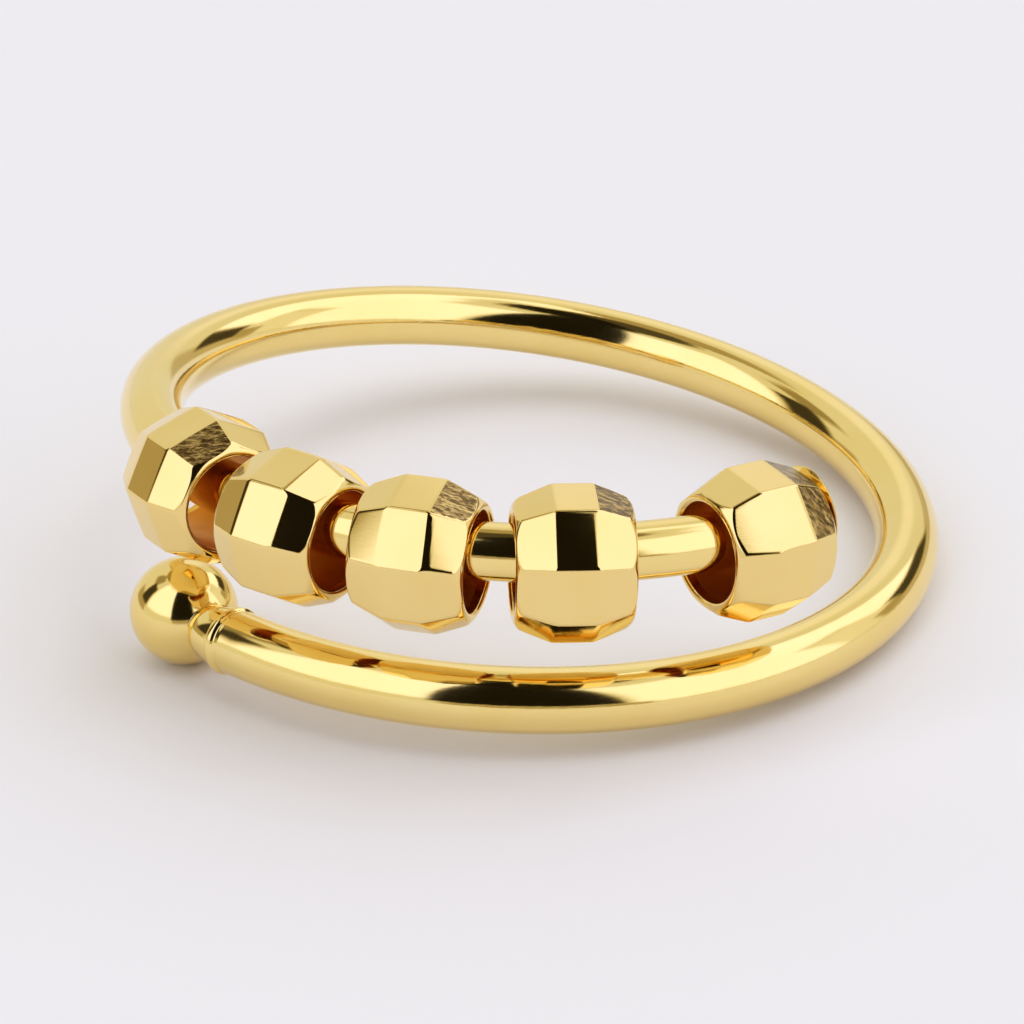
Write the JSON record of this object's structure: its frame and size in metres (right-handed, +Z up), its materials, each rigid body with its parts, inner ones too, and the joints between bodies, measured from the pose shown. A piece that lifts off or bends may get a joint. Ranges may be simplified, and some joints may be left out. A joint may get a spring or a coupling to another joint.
{
  "type": "spinner ring",
  "caption": "Open coiled finger ring of round polished gold wire, with a ball on its lower end and faceted beads that spin on the front of the upper turn.",
  "frame": {"origin": "where the axis of the ring's turns, which is also the finger's axis, meets the surface that the ring lies on", "axes": "+Z up from that surface, with the ring lying as it would by itself; -Y towards the front, where the beads are; +X to the right of someone who looks at the beads. The finger's axis leans 6.7 degrees from +Z."},
  "size_m": [0.0205, 0.0216, 0.0068],
  "materials": {
    "band": "polished yellow gold plate",
    "beads": "polished yellow gold plate, flat cut facets"
  },
  "bodies": {
    "band": {"band": "band"},
    "bead_1": {"bead_1": "beads"},
    "bead_2": {"bead_2": "beads"},
    "bead_3": {"bead_3": "beads"},
    "bead_4": {"bead_4": "beads"},
    "bead_5": {"bead_5": "beads"}
  },
  "joints": [
    {"name": "bead_1_spin", "type": "hinge", "parent": "band", "child": "bead_1", "pos_m": [-0.00739, -0.00522, 0.00484], "axis": [0.5755, -0.8168, 0.0417], "continuous": true},
    {"name": "bead_2_spin", "type": "hinge", "parent": "band", "child": "bead_2", "pos_m": [-0.00498, -0.0076, 0.00494], "axis": [0.8242, -0.5661, 0.0149], "continuous": true},
    {"name": "bead_3_spin", "type": "hinge", "parent": "band", "child": "bead_3", "pos_m": [-0.00197, -0.00898, 0.00494], "axis": [0.9672, -0.2537, -0.0129], "continuous": true},
    {"name": "bead_4_spin", "type": "hinge", "parent": "band", "child": "bead_4", "pos_m": [0.00155, -0.00923, 0.00484], "axis": [0.9928, 0.1125, -0.0409], "continuous": true},
    {"name": "bead_5_spin", "type": "hinge", "parent": "band", "child": "bead_5", "pos_m": [0.00581, -0.00764, 0.00459], "axis": [0.8283, 0.5564, -0.0664], "continuous": true}
  ]
}
